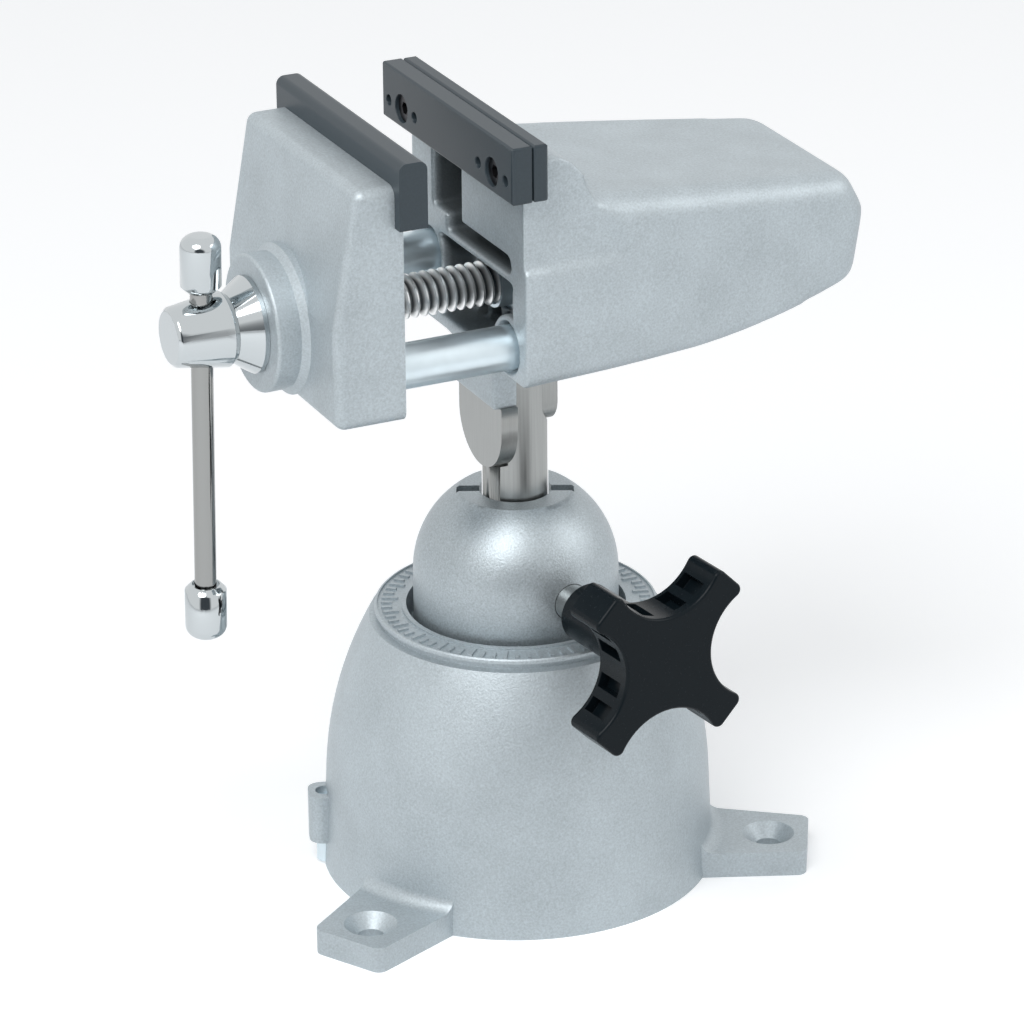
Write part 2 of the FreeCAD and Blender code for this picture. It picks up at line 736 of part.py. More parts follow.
def body_rounding(solid):
    def upright_rear(edge):
        p = middle(edge)
        return p.x > BODY_TOP_REAR_X - EDGE_MARGIN and abs(p.y) > BODY_REAR_HALF - EDGE_MARGIN \
            and edge.BoundBox.ZLength > EDGE_MARGIN
    solid = rounded(solid, upright_rear, BODY_REAR_R)

    def top_edge(edge):
        p = middle(edge)
        near_top = p.z > BODY_TOP_REAR - EDGE_MARGIN
        along = p.x > BODY_FRONT + 1 and edge.BoundBox.XLength > 0.5 and abs(p.y) > BODY_REAR_HALF / 2
        return near_top and (along or p.x > BODY_TOP_REAR_X - EDGE_MARGIN)
    solid = rounded(solid, top_edge, BODY_TOP_R)

    def low_edge(edge):
        p = middle(edge)
        return p.z < BODY_BELLY_END[1] + 1 and p.x > BODY_FRONT + 1
    return rounded(solid, low_edge, BODY_BOTTOM_R)


def shoulder():
    steps = [(SHOULDER_X, CREASE_Z), (SHOULDER_X, SHOULDER_TOP),
             (SHOULDER_CREST_X, SHOULDER_TOP), (SHOULDER_BEND, SHOULDER_BEND_END),
             SHOULDER_SLOPE, SHOULDER_FOOT, (SHOULDER_FOOT[0], CREASE_Z)]
    block = side_prism(steps, SHOULDER_HALF)
    seat = box(BODY_FRONT, SHOULDER_X, -SHOULDER_HALF, SHOULDER_HALF, CREASE_Z, PLATE_LOW)
    return block.fuse(seat)


def shoulder_flanks():
    """What the shoulder's flanks stand back from the body's sides, down to the crease."""
    front = BODY_FRONT - 1
    steps = [(front, CREASE_Z), (front, SHOULDER_TOP), (SHOULDER_CREST_X, SHOULDER_TOP),
             (SHOULDER_BEND, SHOULDER_BEND_END), SHOULDER_SLOPE, SHOULDER_FOOT,
             (SHOULDER_FOOT[0] - 3, CREASE_Z)]
    cut = side_prism(steps, BODY_HALF + 1)
    return cut.cut(box(front - 1, FAR, -SHOULDER_HALF, SHOULDER_HALF, 0, FAR))


def body_cavity():
    wall = BODY_WALL
    belly_end = (BODY_BELLY_END[0] - wall, BODY_BELLY_END[1] + wall)
    bend = (BODY_BELLY_BEND[0], BODY_BELLY_BEND[1] + wall)
    steps = [(BLOCK_BACK, BODY_BOTTOM + wall), (BODY_BELLY[0], BODY_BELLY[1] + wall),
             (bend, belly_end), (BODY_REAR - wall - 1, BODY_REAR_Z),
             (BODY_TOP_REAR_X - wall, BODY_TOP_REAR - wall),
             (BLOCK_BACK, BODY_TOP_FRONT - wall)]
    side = side_prism(steps, BODY_HALF)
    half = BODY_HALF - wall
    rear_half = BODY_REAR_HALF - wall
    plan = plan_prism(body_plan(half, rear_half, 0, BODY_CAVITY_REAR), 0, FAR)
    mouth = plan_prism(body_plan(half, rear_half, BLOCK_BACK, BODY_MOUTH_REAR), 0, BODY_MOUTH_TOP)
    return side.common(plan).fuse(mouth)


def front_pockets():
    """The cored front: a recess round the screw, a slot over it and two windows."""
    front = BODY_FRONT - 1
    recess = box(front, RECESS_X, *RECESS_Y, RECESS_LOW, RECESS_HIGH)
    for y, z in (NEAR_ROD, FAR_ROD):
        recess = recess.cut(along_x(ROD_BOSS_R, front, RECESS_X + 1, y, z))
    cuts = [recess]
    for low, high in POCKETS_Y:
        cuts.append(box(front, POCKET_FLOOR_X, low, high, RECESS_LOW, POCKET_HIGH))
    cuts.append(box(front, BLOCK_BACK + 1, *WINDOW_Y, *WINDOW_Z))
    cuts.append(box(front, POCKET_FLOOR_X, *WINDOW_Y, *GUTTER_Z))
    slot = box(front, SLOT_X, *SLOT_Y, *SLOT_Z)
    cuts.append(rounded(slot, lambda e: abs(middle(e).y - SLOT_Y[0]) < 0.01
                        and e.BoundBox.XLength > 1, SLOT_END_R))
    return cuts


def bores():
    front = BODY_FRONT - 1
    cavity = BLOCK_BACK + 1
    reach = ROD_BACK + CLOSING_TRAVEL + CHANNEL_END_GAP
    cuts = [along_x(SCREW_BORE_R, front, reach, 0, SCREW_Z)]
    cuts.append(along_x(NUT_R + FIT, NUT_FRONT, NUT_BACK, 0, SCREW_Z))
    for y, z in (NEAR_ROD, FAR_ROD):
        cuts.append(along_x(ROD_R + RUN, front, cavity, y, z))
        cuts.append(along_x(ROD_R + ROD_MOUTH, front, BODY_FRONT + ROD_MOUTH_DEPTH, y, z))
        cuts.append(along_x(ROD_R + ROD_CHANNEL_GAP, BLOCK_BACK, reach, y, z))
    return cuts


def saddle():
    top = RECESS_LOW
    front = box(SADDLE_FRONT, SADDLE_STEP, -SADDLE_HALF, SADDLE_HALF, SADDLE_LOW, top)
    half = SADDLE_REAR_HALF
    return front.fuse(box(SADDLE_STEP, SADDLE_REAR, -half, half, SADDLE_REAR_LOW, top))


def post_pocket():
    low = SADDLE_LOW - 1
    x0 = FRONT_CHEEK_X - FIT
    tongue = FRONT_TONGUE_HALF + FIT
    cuts = [box(x0, 0, -tongue, tongue, low, POST_HIGH)]
    cuts.append(Part.makeCylinder(POST_R + FIT, POST_HIGH - low, vec(0, 0, low)))
    half = REAR_CHEEK_HALF + FIT
    cuts.append(box(0, REAR_CHEEK_X + FIT, -half, half, low, POST_HIGH))
    cuts.append(along_x(PIN_R + FIT, -PIN_REACH, PIN_REACH, 0, PIN_Z))
    return cuts


def nut_boss():
    return along_x(NUT_R + NUT_BOSS_WALL, BLOCK_BACK - 1, NUT_BACK + NUT_BOSS_LIP, 0, SCREW_Z)


def body_casting():
    casting = body_outside().cut([body_cavity(), shoulder_flanks()])
    casting = casting.fuse([shoulder(), saddle(), nut_boss()])
    casting = casting.cut(front_pockets())
    casting = casting.cut(bores() + post_pocket())
    casting = casting.cut([jaw_screw_bore(y) for y in (-BIG_HOLE_Y, BIG_HOLE_Y)])
    return casting


def jaw_screw_bore(y):
    return along_x(JAW_SCREW_R + FIT, SHOULDER_X - 1, JAW_SCREW_END + SCREW_END_GAP, y, HOLE_Z)


def lead_nut():
    nut = along_x(NUT_R, NUT_FRONT, NUT_BACK, 0, SCREW_Z)
    nut = nut.fuse(along_x(NUT_SLEEVE_R, NUT_SLEEVE_FRONT, NUT_BACK, 0, SCREW_Z))
    return nut.cut(along_x(SCREW_R + RUN, NUT_SLEEVE_FRONT - 1, NUT_BACK + 1, 0, SCREW_Z))


# Fixed jaw plates

def plate(x0, x1, edge):
    slab = box(x0, x1, -PLATE_HALF, PLATE_HALF, PLATE_LOW, PLATE_HIGH)
    return slab.makeChamfer(edge, slab.Edges)


def fixed_jaw_backing():
    slab = plate(BACKING_FRONT, SHOULDER_X, PLATE_EDGE)
    for y in (-BIG_HOLE_Y, BIG_HOLE_Y):
        slab = slab.cut(along_x(JAW_SCREW_R + FIT, BACKING_FRONT - 1, SHOULDER_X + 1, y, HOLE_Z))
    return slab


def fixed_jaw_plate():
    slab = plate(PLATE_FRONT, BACKING_FRONT, PLATE_EDGE)
    seat = PLATE_FRONT + JAW_HEAD_SINK + JAW_HEAD_THICK
    for side in (-1, 1):
        y = side * BIG_HOLE_Y
        slab = slab.cut(along_x(BIG_HOLE_R + RUN, PLATE_FRONT - 1, seat, y, HOLE_Z))
        slab = slab.cut(along_x(JAW_SCREW_R + FIT, seat - 1, BACKING_FRONT + 1, y, HOLE_Z))
        for small in SMALL_HOLE_Y:
            end = PLATE_FRONT + SMALL_HOLE_DEPTH
            slab = slab.cut(along_x(SMALL_HOLE_R, PLATE_FRONT - 1, end, side * small, HOLE_Z))
    return slab


def socket_screw(head_from, head_to, end, y, z):
    screw = along_x(BIG_HOLE_R, head_from, head_to, y, z)
    shank_from = min(head_to, end)
    shank_to = max(head_to, end)
    screw = screw.fuse(along_x(JAW_SCREW_R, shank_from, shank_to, y, z))
    inward = 1 if end > head_from else -1
    low = min(head_from, head_from + inward * HEX_DEPTH)
    return screw.cut(hexagon(HEX_ACROSS, low, low + HEX_DEPTH, y, z))


def fixed_jaw_screws():
    head = PLATE_FRONT + JAW_HEAD_SINK
    screws = []
    for y in (-BIG_HOLE_Y, BIG_HOLE_Y):
        screws.append(socket_screw(head, head + JAW_HEAD_THICK, JAW_SCREW_END, y, HOLE_Z))
    return Part.makeCompound(screws)


# Movable jaw

def jaw_block():
    steps = [(JAW_INNER, JAW_LOW), (JAW_INNER, JAW_TOP), (JAW_OUTER_TOP, JAW_TOP),
             (JAW_OUTER, JAW_BREAK_Z), (JAW_OUTER, JAW_LOW)]
    block = side_prism(steps, JAW_HALF)

    def outer_edges(edge):
        p = middle(edge)
        return p.x < JAW_INNER - 2 and edge.BoundBox.DiagonalLength > 5
    return rounded(block, outer_edges, JAW_EDGE)


def jaw_boss():
    top = BOSS_R - BOSS_ROUND
    bend = math.radians(45)
    mid = (BOSS_FACE + BOSS_ROUND * (1 - math.cos(bend)), top + BOSS_ROUND * math.sin(bend))
    inside = JAW_OUTER + 2 * BOSS_FOOT
    steps = [(inside, 0), (inside, BOSS_R + BOSS_FOOT), (JAW_OUTER, BOSS_R + BOSS_FOOT),
             (JAW_OUTER - BOSS_FOOT, BOSS_R), (BOSS_FACE + BOSS_ROUND, BOSS_R),
             (mid, (BOSS_FACE, top)), (BOSS_FACE, 0)]
    return turned_x(steps, 0, SCREW_Z)


def moving_jaw():
    casting = jaw_block().fuse(jaw_boss())
    notch = box(PAD_BACK, FAR, -FAR, FAR, PAD_LOW, FAR)
    casting = casting.cut(notch)
    casting = casting.cut(along_x(SCREW_R + TURN_GAP, BOSS_FACE - 1, JAW_INNER + 1, 0, SCREW_Z))
    casting = casting.cut(along_x(COLLAR_R + TURN_GAP, COLLAR_FRONT, JAW_INNER + 1, 0, SCREW_Z))
    for y, z in (NEAR_ROD, FAR_ROD):
        casting = casting.cut(along_x(ROD_R + FIT, ROD_FRONT, JAW_INNER + 1, y, z))
        casting = casting.cut(rod_pin(y, z, FIT, JAW_LOW - 1))
    for y in (-BIG_HOLE_Y, BIG_HOLE_Y):
        end = PAD_SCREW_END - SCREW_END_GAP
        casting = casting.cut(along_x(JAW_SCREW_R + FIT, end, PAD_BACK, y, HOLE_Z))
    return casting


def rod_pin(y, z, grow, low):
    top = z - ROD_R + ROD_PIN_BITE
    return rod(ROD_PIN_R + grow, vec(ROD_PIN_X, y, low), vec(ROD_PIN_X, y, top))


def guide_rod(y, z):
    bar = along_x(ROD_R, ROD_FRONT, ROD_BACK, y, z)
    bar = bar.makeChamfer(ROD_CHAMFER, [e for e in bar.Edges if middle(e).x > ROD_BACK - 0.1])
    return bar.cut(rod_pin(y, z, FIT, z - ROD_R - 1))


def rod_pins():
    pins = [rod_pin(y, z, 0, JAW_LOW + ROD_PIN_SINK) for y, z in (NEAR_ROD, FAR_ROD)]
    return Part.makeCompound(pins)


def moving_jaw_pad():
    slab = box(PAD_BACK, PAD_FRONT, -PAD_HALF, PAD_HALF, PAD_LOW, PAD_HIGH)

    def soft_edges(edge):
        p = middle(edge)
        on_top = abs(p.z - PAD_HIGH) < 0.01
        return on_top and edge.BoundBox.YLength > 1
    slab = rounded(slab, soft_edges, PAD_ROUND)
    seat = PAD_FRONT - JAW_HEAD_SINK - JAW_HEAD_THICK
    for y in (-BIG_HOLE_Y, BIG_HOLE_Y):
        slab = slab.cut(along_x(BIG_HOLE_R + RUN, seat, PAD_FRONT + 1, y, HOLE_Z))
        slab = slab.cut(along_x(JAW_SCREW_R + FIT, PAD_BACK - 1, seat + 1, y, HOLE_Z))
    return slab


def pad_screws():
    face = PAD_FRONT - JAW_HEAD_SINK
    screws = []
    for y in (-BIG_HOLE_Y, BIG_HOLE_Y):
        screw = along_x(BIG_HOLE_R, face - JAW_HEAD_THICK, face, y, HOLE_Z)
        screw = screw.fuse(along_x(JAW_SCREW_R, PAD_SCREW_END, face - 1, y, HOLE_Z))
        screw = screw.cut(hexagon(HEX_ACROSS, face - HEX_DEPTH, face + 1, y, HOLE_Z))
        screws.append(screw)
    return Part.makeCompound(screws)


# Lead screw

def lead_screw():
    steps = [(HEAD_FRONT, 0), (HEAD_FRONT, HEAD_FRONT_R - HEAD_CHAMFER),
             (HEAD_FRONT + HEAD_CHAMFER, HEAD_FRONT_R),
             (HEAD_BACK - HEAD_BACK_EDGE, HEAD_BACK_R),
             (HEAD_BACK, CONE_R), (HEAD_BACK, SCREW_R), (SCREW_END - SCREW_CHAMFER, SCREW_R),
             (SCREW_END, SCREW_R - SCREW_CHAMFER), (SCREW_END, 0)]
    screw = turned_x(steps, 0, SCREW_Z)
    reach = 2 * HEAD_BACK_R
    hole = rod(HANDLE_R + RUN, vec(HANDLE_X, 0, SCREW_Z - reach),
               vec(HANDLE_X, 0, SCREW_Z + reach))
    return screw.cut(leaned(hole))


def thrust_cone():
    face = BOSS_FACE - RUN
    steps = [(HEAD_BACK, SCREW_R + FIT), (HEAD_BACK, CONE_R), (face - CONE_RIM, CONE_RIM_R),
             (face, CONE_RIM_R), (face, SCREW_R + FIT)]
    return turned_x(steps, 0, SCREW_Z)


def screw_collar():
    ring = along_x(COLLAR_R, COLLAR_FRONT + RUN, COLLAR_BACK, 0, SCREW_Z)
    return ring.cut(along_x(SCREW_R + FIT, COLLAR_FRONT - 1, COLLAR_BACK + 1, 0, SCREW_Z))


# Handle

def leaned(shape):
    """The handle's pieces stand a little turned about the screw's axis."""
    copy = shape.copy()
    copy.rotate(vec(0, 0, SCREW_Z), ALONG, HANDLE_LEAN)
    return copy


def handle_rod():
    low = HANDLE_LOW + CAP_END
    bar = Part.makeCylinder(HANDLE_R, HANDLE_HIGH - CAP_END - low, vec(HANDLE_X, 0, low))
    return leaned(bar)


def cap(radius, closed, mouth):
    """A turned cap; closed and mouth are the heights of its two ends."""
    way = 1 if closed > mouth else -1
    dome = radius * CAP_DOME_SHARE
    turn = math.radians(45)
    bend = (radius - dome + dome * math.sin(turn), closed - way * dome * (1 - math.cos(turn)))
    steps = [(0, mouth), (radius - CAP_MOUTH_EDGE, mouth)]
    steps += [(radius, mouth + way * CAP_MOUTH_EDGE), (radius, closed - way * dome)]
    steps += [(bend, (radius - dome, closed)), (0, closed)]
    solid = revolved(steps)
    solid.translate(vec(HANDLE_X, 0, 0))
    depth = abs(closed - mouth) - CAP_END
    start = vec(HANDLE_X, 0, mouth)
    solid = solid.cut(rod(HANDLE_R + FIT, start, start + UP * way * depth))
    return leaned(solid.cut(rod(CAP_MOUTH_R, start, start + UP * way * CAP_MOUTH_DEPTH)))


PIECES = {
    "base_casting": base_casting,
    "retaining_disc": retaining_disc,
    "disc_screws": disc_screws,
    "friction_washer": friction_washer,
    "lock_screw": lock_screw,
    "turret_dome": turret_dome,
    "ball_seat": ball_seat,
    "ring_nut": ring_nut,
    "clamp_shoe": clamp_shoe,
    "knob_star": knob_star,
    "knob_stud": knob_stud,
    "ball_half_left": lambda: ball_half(-1),
    "ball_half_right": lambda: ball_half(1),
    "post": post,
    "post_retaining_ring": post_retaining_ring,
    "front_cheek": front_cheek,
    "rear_cheek": rear_cheek,
    "cross_pin": cross_pin,
    "body_casting": body_casting,
    "lead_nut": lead_nut,
    "fixed_jaw_backing": fixed_jaw_backing,
    "fixed_jaw_plate": fixed_jaw_plate,
    "fixed_jaw_screws": fixed_jaw_screws,
    "moving_jaw": moving_jaw,
    "guide_rod_near": lambda: guide_rod(*NEAR_ROD),
    "guide_rod_far": lambda: guide_rod(*FAR_ROD),
    "rod_pins": rod_pins,
    "moving_jaw_pad": moving_jaw_pad,
    "pad_screws": pad_screws,
    "lead_screw": lead_screw,
    "thrust_cone": thrust_cone,
    "screw_collar": screw_collar,
    "handle_rod": handle_rod,
    "handle_cap_top": lambda: cap(TOP_CAP_R, HANDLE_HIGH, HANDLE_HIGH - CAP_HEIGHT),
    "handle_cap_bottom": lambda: cap(LOW_CAP_R, HANDLE_LOW, HANDLE_LOW + CAP_HEIGHT),
}

for name, make in PIECES.items():
    save(name, make())
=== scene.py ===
import json
import math

import bmesh
import bpy
from mathutils import Matrix, Vector


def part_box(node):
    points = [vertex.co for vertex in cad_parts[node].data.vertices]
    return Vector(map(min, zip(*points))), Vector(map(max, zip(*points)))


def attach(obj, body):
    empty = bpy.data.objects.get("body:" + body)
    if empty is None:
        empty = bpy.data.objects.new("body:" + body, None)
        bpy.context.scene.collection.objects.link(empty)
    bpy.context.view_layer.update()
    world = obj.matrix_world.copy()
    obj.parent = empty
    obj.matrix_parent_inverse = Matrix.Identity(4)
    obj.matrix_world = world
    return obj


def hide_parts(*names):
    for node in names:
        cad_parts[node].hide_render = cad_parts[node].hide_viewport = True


bl_info = {
    "name": "Tilting vise finishes",
    "version": (1, 0, 0),
    "blender": (4, 5, 0),
    "location": "View3D > Sidebar > Vise",
    "description": "Dresses the packed vise: castings, steel, thread, knob and studio",
    "category": "Object",
}

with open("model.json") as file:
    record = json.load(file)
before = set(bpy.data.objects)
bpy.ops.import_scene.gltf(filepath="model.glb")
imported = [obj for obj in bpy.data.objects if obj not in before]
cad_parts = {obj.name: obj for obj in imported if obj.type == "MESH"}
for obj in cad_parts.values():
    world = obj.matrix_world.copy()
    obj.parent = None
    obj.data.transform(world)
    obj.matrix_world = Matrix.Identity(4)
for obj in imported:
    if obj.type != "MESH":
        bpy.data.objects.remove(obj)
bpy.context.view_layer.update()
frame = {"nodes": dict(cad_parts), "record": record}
MM = 0.001

# The body that each node moves with
BODY_OF = {node: body for body, nodes in frame["record"]["behaviour"]["bodies"].items()
           for node in nodes}

# Lead screw, as in the source of the solids
SCREW_Z = 133.6 * MM
SCREW_CREST_R = 4.76 * MM
HEAD_BACK_X = -64.6 * MM
HEAD_LAP = 0.3 * MM
HEAD_EDGE = 0.35 * MM
THREAD_START_X = -37.0 * MM
THREAD_LAP = 0.2 * MM
THREAD_SHORT = 0.2 * MM
THREAD_STEPS = 36
THREAD_SAME_POINT = 0.002 * MM

# One pitch of the thread, as shares of the pitch and of the depth above its root
THREAD_PROFILE = ((0.0, 0), (0.07, 0), (0.42, 1), (0.58, 1), (0.93, 0), (1.0, 0))

# Parts of the body that the casting rounds most, and the passes that soften them
SKIN_PASSES = 2
FLANK_X = (-6.0 * MM, 18.0 * MM)
FLANK_Y = 20.0 * MM
FLANK_Z = (141.0 * MM, 164.0 * MM)
FLANK_PASSES = 12
REAR_END_X = 56.0 * MM
REAR_PASSES = 20

# Where the body's cored pockets lie behind its front face, where painted shade darkens the
# casting's colour
CORE_MOUTH_X = (-10.4 * MM, -8.2 * MM)
CORE_END_X = (9.0 * MM, 11.0 * MM)
CORE_LOW_Z = (121.6 * MM, 123.4 * MM)
CORE_HIGH_Z = (156.0 * MM, 157.6 * MM)
CORE_SIDE_Y = (23.0 * MM, 24.5 * MM)

# Band on top of the base's ring, and the bars that stand on it
RING_FLOOR_Z = 59.25 * MM
RING_MARK_HIGH = 0.44 * MM
RING_MARK_WIDTH = 0.8 * MM
RING_MARK_IN_R = 25.4 * MM
RING_MARK_OUT_R = 29.0 * MM
RING_MARK_SHORTER = 1.2 * MM
RING_MARK_TAPER = 0.92
LONG_MARK_EVERY = 3

# Angles in degrees: what still counts as flat, where shading breaks, which edges are rounded
FLAT_ANGLE = 0.6
SHADE_ANGLE = 32
THREAD_SHADE_ANGLE = 28
HEAD_SHADE_ANGLE = 30
NEVER_BREAKS = 180
EDGE_ANGLE = 38
EDGE_SEGMENTS = 2
SAME_POINT = 0.001 * MM

# Colours that belong to one finish
# painted shade for the body's cored pockets
PAINTED_CORE_SHADE = (0.05, 0.06, 0.065)
# painted shade for the lead screw's thread grooves
PAINTED_GROOVE_SHADE = (0.10, 0.11, 0.115)
# bright steel of the thread's crests, with a painted highlight in it
CREST_STEEL_AND_HIGHLIGHT = (0.95, 0.96, 0.96)
HANDLE_STEEL = (0.33, 0.335, 0.33)
CHROME = (0.54, 0.575, 0.59)
BLACK_SCREW = (0.06, 0.06, 0.065)
WASHER_WHITE = (0.75, 0.74, 0.70)

# Lines drawn into the steel, in each metre across them and along them
LINES_ACROSS = 2500.0
LINES_ALONG = 60.0

# The photograph's camera, fitted on the object's own points
CAMERA_EYE = (-0.42019, -0.88731, 0.504995)
CAMERA_TARGET = (-0.000637, 0.000304, 0.080305)
CAMERA_ROLL = math.radians(-0.47)

SENSOR_WIDTH = 36.0
VIEW_DEPTH = 20.0

# Way from the object to the dark side of the studio, which lies behind the camera
ROOM_SIDE = (-0.426, -0.902, 0.07)
ROOM_STOPS = ((0.84, (1, 1, 1)), (0.93, (0.07, 0.08, 0.09)))
SKY_COLOUR = (0.96, 0.98, 1.0)

# Floor and lamps: half width of the floor, then each lamp's place and width
FLOOR_REACH = 6.0
FLOOR_COLOUR = (0.84, 0.85, 0.86)
KEY_LAMP = ((-0.70, -0.55, 1.15), 0.9)
FILL_LAMP = ((0.95, -0.55, 0.75), 0.7)
FILL_SHARE = 0.22
LAMP_AIM = (0, 0, 0.1)

# Places of the colour sockets on a Mix node
MIX_FIRST = 6
MIX_SECOND = 7
MIX_RESULT = 2


# Settings that a user would change

class CastingSettings(bpy.types.PropertyGroup):
    silver: bpy.props.FloatVectorProperty(
        name="Silver", description="Colour of the painted castings",
        subtype="COLOR", size=3, min=0, max=1, default=(0.47, 0.525, 0.555))
    grain_size: bpy.props.FloatProperty(
        name="Grain size", description="Width of one fleck of the castings' skin",
        subtype="DISTANCE", default=0.00045, min=0.0001)
    grain_depth: bpy.props.FloatProperty(
        name="Grain depth", description="Height of the skin's flecks",
        subtype="DISTANCE", default=0.00007, min=0.0)
    edge_round: bpy.props.FloatProperty(
        name="Edge radius", description="Radius on the castings' small edges",
        subtype="DISTANCE", default=0.00045, min=0.0)
    # strength of the painted shade in the body's cored pockets
    core_shade: bpy.props.FloatProperty(
        name="Core shade", description="How dark the body's cored pockets are",
        subtype="FACTOR", default=0.72, min=0.0, max=1.0)
    body_face: bpy.props.FloatProperty(
        name="Body face", description="Width of one face on the vise body's skin",
        subtype="DISTANCE", default=0.00062, min=0.0003)
    ring_marks: bpy.props.IntProperty(
        name="Ring marks", description="Number of raised marks round the base's ring",
        default=72, min=1)


class SteelSettings(bpy.types.PropertyGroup):
    zinc: bpy.props.FloatVectorProperty(
        name="Zinc", description="Colour of the plated rods and screws",
        subtype="COLOR", size=3, min=0, max=1, default=(0.72, 0.82, 0.87))
    steel: bpy.props.FloatVectorProperty(
        name="Steel", description="Colour of the post and the cheeks",
        subtype="COLOR", size=3, min=0, max=1, default=(0.37, 0.38, 0.375))
    pitch: bpy.props.FloatProperty(
        name="Thread pitch", description="Advance of the lead screw in one turn",
        subtype="DISTANCE", default=0.0021167, min=0.0005)
    thread_depth: bpy.props.FloatProperty(
        name="Thread depth", description="Depth of the lead screw's thread",
        subtype="DISTANCE", default=0.0012, min=0.0001)


class BlackSettings(bpy.types.PropertyGroup):
    plates: bpy.props.FloatVectorProperty(
        name="Plates", description="Colour of the jaw plates and the pad",
        subtype="COLOR", size=3, min=0, max=1, default=(0.036, 0.051, 0.062))
    knob: bpy.props.FloatVectorProperty(
        name="Knob", description="Colour of the star knob",
        subtype="COLOR", size=3, min=0, max=1, default=(0.005, 0.009, 0.012))
    plate_edge: bpy.props.FloatProperty(
        name="Edge radius", description="Radius on the plates' and the knob's small edges",
        subtype="DISTANCE", default=0.0003, min=0.0)


class StageSettings(bpy.types.PropertyGroup):
    lens: bpy.props.FloatProperty(
        name="Lens", description="Focal length that gives the photograph's framing",
        default=176.70, min=1.0)
    lamp_power: bpy.props.FloatProperty(
        name="Lamp power", description="Power of the large soft lamp",
        subtype="POWER", default=11.5, min=0.0)
    sky: bpy.props.FloatProperty(
        name="Sky", description="Strength of the light from all round",
        subtype="FACTOR", default=0.43, min=0.0)
    floor_glow: bpy.props.FloatProperty(
        name="Floor glow", description="What the floor adds of its own where it is looked at",
        subtype="FACTOR", default=0.34, min=0.0)


SETTINGS = {
    "vise_castings": CastingSettings,
    "vise_steel": SteelSettings,
    "vise_black": BlackSettings,
    "vise_stage": StageSettings,
}


# Shader maths

class Wire:
    """A node socket that can be used in a Python expression."""

    def __init__(self, tree, socket):
        self.tree = tree
        self.socket = socket

    def math(self, operation, *values):
        return self.tree.node("ShaderNodeMath", {"operation": operation}, *values)

    def __add__(self, other):
        return self.math("ADD", self, other)

    def __radd__(self, other):
        return self.math("ADD", other, self)

    def __sub__(self, other):
        return self.math("SUBTRACT", self, other)

    def __rsub__(self, other):
        return self.math("SUBTRACT", other, self)

    def __mul__(self, other):
        return self.math("MULTIPLY", self, other)

    def __rmul__(self, other):
        return self.math("MULTIPLY", other, self)


class Finish:
    """The nodes of a material or a world, with its main shader."""

    def __init__(self, owner, shader="Principled BSDF"):
        owner.use_nodes = True
        self.owner = owner
        self.nodes = owner.node_tree.nodes
        self.links = owner.node_tree.links
        self.shader = self.nodes[shader]

    def place(self):
        return self.node("ShaderNodeTexCoord", {}, output="Object")

    def node(self, kind, settings, *values, output=0, **sockets):
        made = self.nodes.new(kind)
        for key, value in settings.items():
            if key == "stops":
                self.set_stops(made, value)
            else:
                setattr(made, key, value)
        for index, value in enumerate(values):
            self.feed(made.inputs[index], value)
        for key, value in sockets.items():
            self.feed(made.inputs[key.replace("_", " ")], value)
        return Wire(self, made.outputs[output])

    def set_stops(self, ramp_node, stops):
        ramp = ramp_node.color_ramp
        while len(ramp.elements) < len(stops):
            ramp.elements.new(0.5)
        for element, (at, colour) in zip(ramp.elements, stops):
            element.position = at
            element.color = (*colour, 1.0)

    def feed(self, socket, value):
        if isinstance(value, Wire):
            self.links.new(value.socket, socket)
        else:
            socket.default_value = value

    def set(self, **sockets):
        for key, value in sockets.items():
            self.feed(self.shader.inputs[key.replace("_", " ")], value)

    def noise(self, size, detail=2.0, roughness=0.5):
        return self.node("ShaderNodeTexNoise", {}, Vector=self.place(), Scale=1.0 / size,
                         Detail=detail, Roughness=roughness)

    def mix(self, share, first, second):
        """Colours mixed by a share from 0 to 1."""
        mixed = self.node("ShaderNodeMix", {"data_type": "RGBA"}, share, output=MIX_RESULT)
        inputs = mixed.socket.node.inputs
        self.feed(inputs[MIX_FIRST], first)
        self.feed(inputs[MIX_SECOND], second)
        return mixed

    def share(self, value, low, high):
        """How far a value has come from low to high, from 0 to 1."""
        return self.node("ShaderNodeMapRange", {}, value, low, high)

    def axes(self):
        """The three Object coordinates."""
        split = self.node("ShaderNodeSeparateXYZ", {}, self.place())
        return [Wire(self, socket) for socket in split.socket.node.outputs]

    def bump(self, height, distance):
        return self.node("ShaderNodeBump", {}, Height=height, Distance=distance, Strength=1.0)


def new_finish(name):
    return Finish(bpy.data.materials.new(name))


def rgba(colour, gain=1.0):
    return (colour[0] * gain, colour[1] * gain, colour[2] * gain, 1.0)


def cast_silver(settings):
    finish = new_finish("cast silver")
    fleck = finish.noise(settings.grain_size, detail=3.0, roughness=0.6)
    cloud = finish.noise(0.012, detail=1.0)
    share = fleck * 0.75 + cloud * 0.25
    tone = finish.mix(share, rgba(settings.silver, 0.55), rgba(settings.silver, 1.45))
    finish.set(Base_Color=tone, Metallic=0.55, Roughness=0.42 + fleck * 0.12,
               Normal=finish.bump(fleck, settings.grain_depth))
    return finish.owner


def silver_with_painted_core_shade(settings):
    """The castings' silver, with painted shade darkening the cored pockets of the front face."""
    finish = Finish(cast_silver(settings))
    finish.owner.name = "cast silver with painted core shade"
    x, y, z = finish.axes()
    aside = y.math("ABSOLUTE", y)
    behind = finish.share(x, *CORE_MOUTH_X) * (1 - finish.share(x, *CORE_END_X))
    between = finish.share(z, *CORE_LOW_Z) * (1 - finish.share(z, *CORE_HIGH_Z))
    # painted shade: the cored pockets darken, where shade falls behind the front face
    painted_shade_mask = behind * between * (1 - finish.share(aside, *CORE_SIDE_Y))
    skin = Wire(finish, finish.shader.inputs["Base Color"].links[0].from_socket)
    finish.set(Base_Color=finish.mix(painted_shade_mask * settings.core_shade, skin, rgba(PAINTED_CORE_SHADE)))
    return finish.owner


